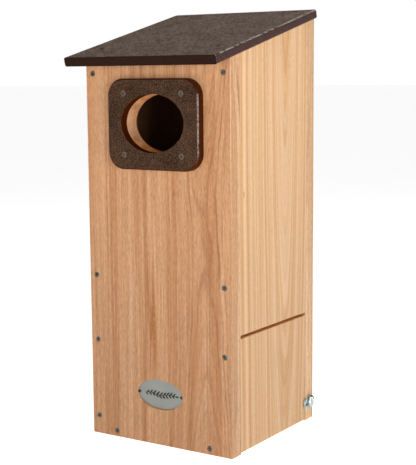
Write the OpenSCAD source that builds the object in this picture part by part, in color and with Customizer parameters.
// Wood-duck nesting box: six cedar boards under a sloping poly-lumber roof, with an oval
// entrance, a guard plate round it, and a clean-out door that pivots on two screws.
// The origin is the middle of the underside. The entrance faces -Y and the door +X.

/* [Boards] */
// Width of the front and back boards
box_w = 235; // [210:1:260]
// Width of the side boards, which stand between the front and back boards
side_w = 184.2; // [170:0.1:220]
// Thickness of every cedar board
board_t = 22.2; // [19:0.1:25]
// Height of the roof's underside above the base, at the front face
front_h = 531.6; // [515:0.1:620]
// Height of the screws that hold the front corners, except at the base
front_screw_top = 512.4; // [480:0.1:512.4]
// Height of the middle corner screws
screw_mid = 231; // [200:1:300]
// Height of the lowest corner screws
screw_low = 26.2; // [24:0.1:60]
// Height of the highest screws in the back board
back_screw_top = 560; // [520:1:560]

/* [Roof] */
// Slope of the roof, falling towards the entrance, in degrees
roof_slope = 14; // [8:0.5:18]
// Thickness of the roof panel
roof_t = 12.7; // [10:0.1:19]
// How far the roof stands out over the entrance, along its slope
roof_front = 40.6; // [10:0.1:80]
// How far the roof stands out past each side
roof_side = 4.5; // [0:0.1:20]
// Rounding of the long edges of the roof panel
roof_round = 3; // [1:0.5:4]
// Distance between the left and right roof screws
roof_screw_pitch = 189; // [120:1:200]

/* [Entrance] */
// Width of the oval entrance
hole_w = 101.6; // [70:0.1:105]
// Height of the oval entrance
hole_h = 78.5; // [60:0.1:80]
// Height of the entrance's middle above the base
hole_z = 445.5; // [400:0.5:450]
// Sideways offset of the entrance and its guard from the middle
hole_x = 2; // [-5:0.5:5]
// Width of the guard plate
guard_w = 147.5; // [140:0.5:170]
// Height of the guard plate
guard_h = 122; // [115:1:125]
// How far the guard plate's middle lies below the entrance's
guard_drop = 1.3; // [0:0.1:4]
// Thickness of the guard plate
guard_t = 12.7; // [10:0.1:19]
// Corner radius of the guard plate
guard_r = 24; // [12:1:30]
// Width of the bevel round the guard plate's front edge
guard_bevel = 1.8; // [0.5:0.1:2]
// Distance between the left and right guard screws
guard_pitch_x = 93.8; // [90:0.1:100]
// Distance between the upper and lower guard screws
guard_pitch_z = 82.4; // [78:0.1:90]

/* [Clean-out door] */
// Height of the door's pivot above the base
pivot_z = 137.8; // [120:0.1:160]
// Height of the door above its pivot
door_above = 21.9; // [18:0.1:22]
// Height of the door's lower edge above the base
door_lift = 2; // [1.8:0.1:4]
// Height of the saw cut between the door and the panel above it
door_kerf = 4; // [4:0.1:6]
// Gap between the door and the front board
door_gap_front = 0.9; // [0.6:0.1:2]
// Gap between the door and the back board
door_gap_back = 1.9; // [1:0.1:2.5]
// Gap between the closed door and the edge of the floor
door_gap_floor = 0.5; // [0.4:0.1:2]

/* [Latch] */
// Distance from the latch button's screw to the middle of its round end
button_throw = 7.8; // [6:0.1:9]
// Radius of the latch button's round end
button_r = 6.7; // [5:0.1:6.8]
// Height of the latch screw above the base
latch_z = 33.5; // [26:0.1:40]
// Thickness of the spacer under the latch button
spacer_t = 2.6; // [2.6:0.1:5]

/* [Fittings] */
// Width of the oval name plate
badge_w = 76.5; // [50:0.5:90]
// Height of the oval name plate
badge_h = 42; // [25:0.5:45]
// Height of the name plate's middle above the base
badge_z = 71.4; // [60:0.1:110]
// Depth of the pocket that the name plate lies in
badge_pocket = 3.4; // [1:0.1:5]
// Diameter of the two mounting holes in the back board
mount_hole_d = 7; // [5:0.1:9]
// Height of the lower mounting hole, which is reached through the door
mount_low = 95; // [70:1:120]
// Diameter of the drain holes in the floor
drain_d = 9.5; // [6:0.5:13]
// Number of grooves in the ladder inside the front board
ladder_steps = 12; // [6:1:14]

/* [Hidden] */
$fn = 64;
oval_sides = 96;
eps = 0.5;
overlap = 0.01;

// Derived places
depth = side_w + 2 * board_t;
front_y = -depth / 2;
back_y = depth / 2;
inner_x = box_w / 2 - board_t;
edge_x = (box_w - board_t) / 2;
edge_y = (depth - board_t) / 2;
door_top = pivot_z + door_above;
upper_z = door_top + door_kerf;
door_front = -side_w / 2 + door_gap_front;
door_back = side_w / 2 - door_gap_back;

// Wood screws: a countersunk head with a six-pointed drive, a plain shank and a thread
screw_r = 2.1;
screw_core_r = 1.5;
screw_head_r = 4.1;
screw_head_t = 2.3;
screw_pitch = 2.8;
screw_tip = 4;
screw_sink = 0.3;
drive_r = 2.1;
drive_depth = 1.6;
frame_screw = 41.3;
roof_screw = 38;
guard_screw = 31.8;
pivot_screw = 50;
fit_gap = 0.03;
running_gap = 0.07;
floor_screw_z = 8.5;
floor_screw_xs = [-75, 81.5];
floor_screw_ys = [-60, 60];

// Ladder cut into the inner face of the front board
ladder_low = 45;
ladder_pitch = 28;
ladder_w = 150;
groove_h = 3;
groove_depth = 3.5;

// Latch: a pear-shaped button stands off the edge of the back board, and a plate on the
// door reaches across the gap to it
latch_y = 101.3;
latch_play = 0.15;
latch_screw_r = 1.7;
latch_screw_grip = 22;
latch_head_r = 3.3;
latch_head_t = 2.1;
button_t = 3.2;
button_bevel = 1.1;
button_eye_r = 4.3;
spacer_r = 3.6;
strike_front = 84.9;
strike_back = 94.1;
strike_low = 18.4;
strike_high = 33.4;
strike_t = 2;
strike_relief = 1;
strike_lap = 0.4;
strike_r = 3.2;
strike_slot = [90, 24.4];
strike_slot_w = 5;
strike_slot_h = 3.4;
strike_slot_r = 1.6;
strike_screw_y = 87.4;
strike_screw_zs = [20.6, 30.4];
strike_screw_r = 1.1;
strike_screw_len = 13;
strike_head_r = 1.9;
strike_head_t = 0.4;

// Name plate
guard_z = hole_z - guard_drop;
badge_x = -0.6;
badge_t = 0.8;
badge_gap = 0.2;
badge_face_y = front_y + badge_pocket - badge_t;
pin_pitch = 70.5;
pin_r = 0.8;
pin_head_r = 2.2;
pin_len = 14;

cedar_front = [0.80, 0.60, 0.43];
cedar_side = [0.89, 0.74, 0.54];
poly = [0.28, 0.22, 0.18];
steel = [0.62, 0.62, 0.60];
badge_grey = [0.56, 0.56, 0.53];
zinc = [0.78, 0.81, 0.84];

// Height of the roof's underside at a distance y along the box
function roof_z(y) = front_h + (y - front_y) * tan(roof_slope);

// Outline of half a screw: head, plain shank, ringed thread and point
function screw_outline(len, r) =
    let (thread = floor((len * 0.55 - screw_tip) / screw_pitch),
         start = len - screw_tip - thread * screw_pitch)
    concat([[0, 0], [screw_head_r, 0], [r, screw_head_t], [r, start - screw_pitch / 2]],
           [for (i = [0 : thread - 1]) each [[screw_core_r, start + i * screw_pitch],
                                             [r, start + (i + 0.5) * screw_pitch]]],
           [[screw_core_r, len - screw_tip], [0, len]]);

// ---- shared shapes ----

module oval(w, h) {
    polygon([for (i = [0 : oval_sides - 1]) let (a = 360 * i / oval_sides)
             [w / 2 * cos(a), h / 2 * sin(a)]]);
}

module rounded_rect(w, h, r) {
    square([w - 2 * r, h], center = true);
    square([w, h - 2 * r], center = true);
    for (x = [-1, 1], y = [-1, 1])
        translate([x * (w / 2 - r), y * (h / 2 - r)]) circle(r);
}

// Turns a drawing in (Y, Z) into a solid that runs from x0 to x1
module along_x(x0, x1) {
    translate([x0, 0, 0]) rotate([90, 0, 90]) linear_extrude(x1 - x0) children();
}

// Turns a drawing in (X, Z) into a solid that runs from y0 to y1
module along_y(y0, y1) {
    translate([0, y1, 0]) rotate([90, 0, 0]) linear_extrude(y1 - y0) children();
}

// A board that stands upright, with its top cut to the slope of the roof
module upright(x0, x1, y0, y1, z0) {
    along_x(x0, x1) polygon([[y0, z0], [y1, z0], [y1, roof_z(y1)], [y0, roof_z(y0)]]);
}

// Screws point along +Z, with the head's face just under z = 0
module wood_screw(len, r = screw_r) {
    translate([0, 0, screw_sink]) difference() {
        rotate_extrude() polygon(screw_outline(len, r));
        translate([0, 0, -eps]) linear_extrude(drive_depth + eps) star(drive_r);
    }
}

module pivot_pin() {
    translate([0, 0, screw_sink]) difference() {
        union() {
            cylinder(h = screw_head_t, r1 = screw_head_r, r2 = screw_r);
            cylinder(h = pivot_screw, r = screw_r);
        }
        translate([0, 0, -eps]) linear_extrude(drive_depth + eps) star(drive_r);
    }
}

module star(r) {
    circle(r, $fn = 3);
    rotate(60) circle(r, $fn = 3);
}

// The hole that a wood screw sits in
module screw_hole(len, gap = fit_gap) {
    translate([0, 0, -eps]) cylinder(h = eps + screw_sink + overlap, r = screw_head_r + gap);
    translate([0, 0, screw_sink])
        cylinder(h = screw_head_t, r1 = screw_head_r + gap, r2 = screw_r + gap);
    cylinder(h = len + screw_sink + eps, r = screw_r + gap);
}

module pan_screw(len, r, head_r, head_t) {
    difference() {
        union() {
            cylinder(h = len, r = r);
            rotate_extrude() polygon([[0, 0], [head_r, 0], [head_r, -head_t * 0.4],
                                      [head_r * 0.75, -head_t * 0.85], [head_r * 0.4, -head_t],
                                      [0, -head_t]]);
        }
        translate([0, 0, -head_t - eps]) linear_extrude(head_t * 0.55 + eps) star(head_r * 0.5);
    }
}

// ---- where the screws go ----

module from_front(xs, zs) {
    for (x = xs, z = zs) translate([x, front_y, z]) rotate([-90, 0, 0]) children();
}

module from_back(xs, zs) {
    for (x = xs, z = zs) translate([x, back_y, z]) rotate([90, 0, 0]) children();
}

module from_left(ys, zs) {
    for (y = ys, z = zs) translate([-box_w / 2, y, z]) rotate([0, 90, 0]) children();
}

module from_right(ys, zs, lift = 0) {
    for (y = ys, z = zs) translate([box_w / 2 + lift, y, z]) rotate([0, -90, 0]) children();
}

// The roof's own frame: +Y up the slope, +Z out of its top
module roof_frame() {
    translate([0, front_y, front_h]) rotate([roof_slope, 0, 0]) children();
}

module from_roof() {
    for (x = [-1, 1] * roof_screw_pitch / 2, y = [-edge_y, edge_y])
        roof_frame() translate([x, (y - front_y) / cos(roof_slope), roof_t])
            rotate([180, 0, 0]) children();
}

module at_guard_corners() {
    for (x = [-1, 1] * guard_pitch_x / 2, z = [-1, 1] * guard_pitch_z / 2)
        translate([hole_x + x, front_y - guard_t, guard_z + z]) rotate([-90, 0, 0]) children();
}

module at_pins() {
    for (x = [-1, 1] * pin_pitch / 2)
        translate([badge_x + x, badge_face_y, badge_z]) rotate([-90, 0, 0]) children();
}

module front_left_places() from_front([-edge_x], [screw_low, pivot_z, screw_mid, front_screw_top])
    children();
module front_right_places() from_front([edge_x], [screw_mid, front_screw_top]) children();
module back_left_places() from_back([-edge_x], [screw_low, pivot_z, screw_mid, back_screw_top])
    children();
module back_right_places() from_back([edge_x], [screw_mid, back_screw_top]) children();

// ---- boards ----

module entrance(y0, y1) {
    along_y(y0, y1) translate([hole_x, hole_z]) oval(hole_w, hole_h);
}

module ladder() {
    for (i = [0 : ladder_steps - 1])
        translate([-ladder_w / 2, -side_w / 2 - groove_depth, ladder_low + i * ladder_pitch])
            cube([ladder_w, groove_depth + eps, groove_h]);
}

module front_board() {
    color(cedar_front) difference() {
        upright(-box_w / 2, box_w / 2, front_y, -side_w / 2, 0);
        entrance(front_y - eps, -side_w / 2 + eps);
        ladder();
        front_left_places() screw_hole(frame_screw);
        front_right_places() screw_hole(frame_screw);
        from_front(floor_screw_xs, [floor_screw_z]) screw_hole(frame_screw);
        from_front([edge_x], [pivot_z]) screw_hole(pivot_screw);
        at_guard_corners() screw_hole(guard_screw);
        along_y(front_y - eps, front_y + badge_pocket) translate([badge_x, badge_z])
            oval(badge_w + 2 * badge_gap, badge_h + 2 * badge_gap);
        at_pins() cylinder(h = pin_len + eps, r = pin_r + fit_gap);
        from_roof() screw_hole(roof_screw);
    }
}

module back_board() {
    color(cedar_front) difference() {
        upright(-box_w / 2, box_w / 2, side_w / 2, back_y, 0);
        back_left_places() screw_hole(frame_screw);
        back_right_places() screw_hole(frame_screw);
        from_back(floor_screw_xs, [floor_screw_z]) screw_hole(frame_screw);
        from_back([edge_x], [pivot_z]) screw_hole(pivot_screw);
        from_back([0], [mount_low, hole_z])
            translate([0, 0, -eps]) cylinder(h = board_t + 2 * eps, d = mount_hole_d);
        from_right([latch_y], [latch_z])
            cylinder(h = latch_screw_grip + eps, r = latch_screw_r + fit_gap);
        from_roof() screw_hole(roof_screw);
    }
}

module left_side_board() {
    color(cedar_side) difference() {
        upright(-box_w / 2, -inner_x, -side_w / 2, side_w / 2, 0);
        front_left_places() screw_hole(frame_screw);
        back_left_places() screw_hole(frame_screw);
        from_left(floor_screw_ys, [floor_screw_z]) screw_hole(frame_screw);
    }
}

module right_side_panel() {
    color(cedar_side) difference() {
        upright(inner_x, box_w / 2, -side_w / 2, side_w / 2, upper_z);
        front_right_places() screw_hole(frame_screw);
        back_right_places() screw_hole(frame_screw);
    }
}

module side_door() {
    color(cedar_side) difference() {
        translate([inner_x, door_front, door_lift])
            cube([board_t, door_back - door_front, door_top - door_lift]);
        from_front([edge_x], [pivot_z])
            cylinder(h = pivot_screw + screw_sink + eps, r = screw_r + running_gap);
        from_back([edge_x], [pivot_z])
            cylinder(h = pivot_screw + screw_sink + eps, r = screw_r + running_gap);
        from_right([strike_screw_y], strike_screw_zs)
            cylinder(h = strike_screw_len + eps, r = strike_screw_r + fit_gap);
    }
}

module floor_board() {
    drain_x = inner_x * 0.62;
    drain_y = side_w * 0.3;
    color(cedar_side) difference() {
        translate([-inner_x, -side_w / 2, 0])
            cube([2 * inner_x - door_gap_floor, side_w, board_t]);
        from_front(floor_screw_xs, [floor_screw_z]) screw_hole(frame_screw);
        from_back(floor_screw_xs, [floor_screw_z]) screw_hole(frame_screw);
        from_left(floor_screw_ys, [floor_screw_z]) screw_hole(frame_screw);
        for (x = [-drain_x, drain_x], y = [-drain_y, drain_y])
            translate([x, y, -eps]) cylinder(h = board_t + 2 * eps, d = drain_d);
    }
}

// ---- poly-lumber panels ----

module roof_panel() {
    color(poly) difference() {
        roof_frame() along_y(-roof_front, depth / cos(roof_slope))
            translate([0, roof_t / 2])
                rounded_rect(box_w + 2 * roof_side, roof_t, roof_round);
        from_roof() screw_hole(roof_screw);
    }
}

// A plate with its front edge bevelled all round, drawn in (X, Y) and built up along +Z
module bevelled_plate(w, h, t, r, bevel) {
    module bar(length, across) {
        rotate([90, 0, 90]) translate([0, 0, -length / 2]) linear_extrude(length)
            polygon([[-across / 2, 0], [across / 2, 0], [across / 2, t - bevel],
                     [across / 2 - bevel, t], [-across / 2 + bevel, t],
                     [-across / 2, t - bevel]]);
    }
    bar(w - 2 * r, h);
    rotate(90) bar(h - 2 * r, w);
    for (x = [-1, 1] * (w / 2 - r), y = [-1, 1] * (h / 2 - r)) translate([x, y, 0]) {
        cylinder(h = t - bevel, r = r);
        translate([0, 0, t - bevel]) cylinder(h = bevel, r1 = r, r2 = r - bevel);
    }
}

module entrance_guard() {
    color(poly) difference() {
        translate([hole_x, front_y, guard_z]) rotate([90, 0, 0])
            bevelled_plate(guard_w, guard_h, guard_t, guard_r, guard_bevel);
        entrance(front_y - guard_t - eps, front_y + eps);
        at_guard_corners() screw_hole(guard_screw);
    }
}

// ---- screws ----

module guard_screws() color(steel) at_guard_corners() wood_screw(guard_screw);
module roof_screws() color(poly) from_roof() wood_screw(roof_screw);
module front_left_screws() color(steel) front_left_places() wood_screw(frame_screw);
module front_right_screws() color(steel) front_right_places() wood_screw(frame_screw);
module back_left_screws() color(steel) back_left_places() wood_screw(frame_screw);
module back_right_screws() color(steel) back_right_places() wood_screw(frame_screw);
module front_pivot_screw() color(steel) from_front([edge_x], [pivot_z]) pivot_pin();
module back_pivot_screw() color(steel) from_back([edge_x], [pivot_z]) pivot_pin();

module front_floor_screws() {
    color(steel) from_front(floor_screw_xs, [floor_screw_z]) wood_screw(frame_screw);
}

module back_floor_screws() {
    color(steel) from_back(floor_screw_xs, [floor_screw_z]) wood_screw(frame_screw);
}

module left_floor_screws() {
    color(steel) from_left(floor_screw_ys, [floor_screw_z]) wood_screw(frame_screw);
}

// ---- name plate ----

module name_plate() {
    color(badge_grey) difference() {
        along_y(badge_face_y, badge_face_y + badge_t) translate([badge_x, badge_z])
            oval(badge_w, badge_h);
        at_pins() translate([0, 0, -eps]) cylinder(h = badge_t + 2 * eps, r = pin_r + fit_gap);
    }
}

module name_plate_pins() {
    color(steel) at_pins() {
        cylinder(h = pin_len, r = pin_r);
        rotate_extrude() polygon([[0, 0], [pin_head_r, 0], [pin_head_r, -0.4],
                                  [pin_head_r * 0.75, -1], [pin_head_r * 0.35, -1.3], [0, -1.4]]);
    }
}

// ---- latch ----

// The button hangs from its screw, and its round end swings up over the door plate
module latch_button() {
    color(zinc) from_right([latch_y], [latch_z], spacer_t + latch_play) difference() {
        hull() for (lobe = [[0, button_eye_r], [-button_throw, button_r]])
            translate([lobe[0], 0, -button_t]) {
                translate([0, 0, button_bevel])
                    cylinder(h = button_t - button_bevel, r = lobe[1], $fn = 48);
                cylinder(h = button_t, r = lobe[1] - button_bevel, $fn = 48);
            }
        translate([0, 0, -button_t - eps])
            cylinder(h = button_t + 2 * eps, r = latch_screw_r + running_gap);
    }
}

module latch_spacer() {
    color(zinc) from_right([latch_y], [latch_z], spacer_t) difference() {
        cylinder(h = spacer_t, r = spacer_r);
        translate([0, 0, -eps])
            cylinder(h = spacer_t + 2 * eps, r = latch_screw_r + fit_gap);
    }
}

module latch_screw() {
    stack = spacer_t + button_t + 2 * latch_play;
    color(zinc) from_right([latch_y], [latch_z], stack)
        pan_screw(stack + latch_screw_grip, latch_screw_r, latch_head_r, latch_head_t);
}

// A small plate on the door whose slotted free edge stands just off the back board
module door_strike() {
    y_mid = (strike_front + strike_back) / 2;
    z_mid = (strike_low + strike_high) / 2;
    color(zinc) difference() {
        along_x(box_w / 2, box_w / 2 + strike_t) translate([y_mid, z_mid])
            rounded_rect(strike_back - strike_front, strike_high - strike_low, strike_r);
        translate([box_w / 2 - eps, door_back - strike_lap, strike_low - eps])
            cube([strike_relief + eps, strike_back, strike_high]);
        along_x(box_w / 2 - eps, box_w / 2 + strike_t + eps)
            translate(strike_slot) rounded_rect(strike_slot_w, strike_slot_h, strike_slot_r);
        from_right([strike_screw_y], strike_screw_zs, strike_t + eps)
            cylinder(h = strike_t + 2 * eps, r = strike_screw_r + fit_gap);
    }
}

module strike_screws() {
    color(zinc) from_right([strike_screw_y], strike_screw_zs, strike_t)
        pan_screw(strike_t + strike_screw_len, strike_screw_r, strike_head_r, strike_head_t);
}

front_board();
back_board();
left_side_board();
right_side_panel();
side_door();
floor_board();
roof_panel();
entrance_guard();
guard_screws();
roof_screws();
front_left_screws();
front_right_screws();
back_left_screws();
back_right_screws();
front_floor_screws();
back_floor_screws();
left_floor_screws();
front_pivot_screw();
back_pivot_screw();
name_plate();
name_plate_pins();
latch_button();
latch_spacer();
latch_screw();
door_strike();
strike_screws();
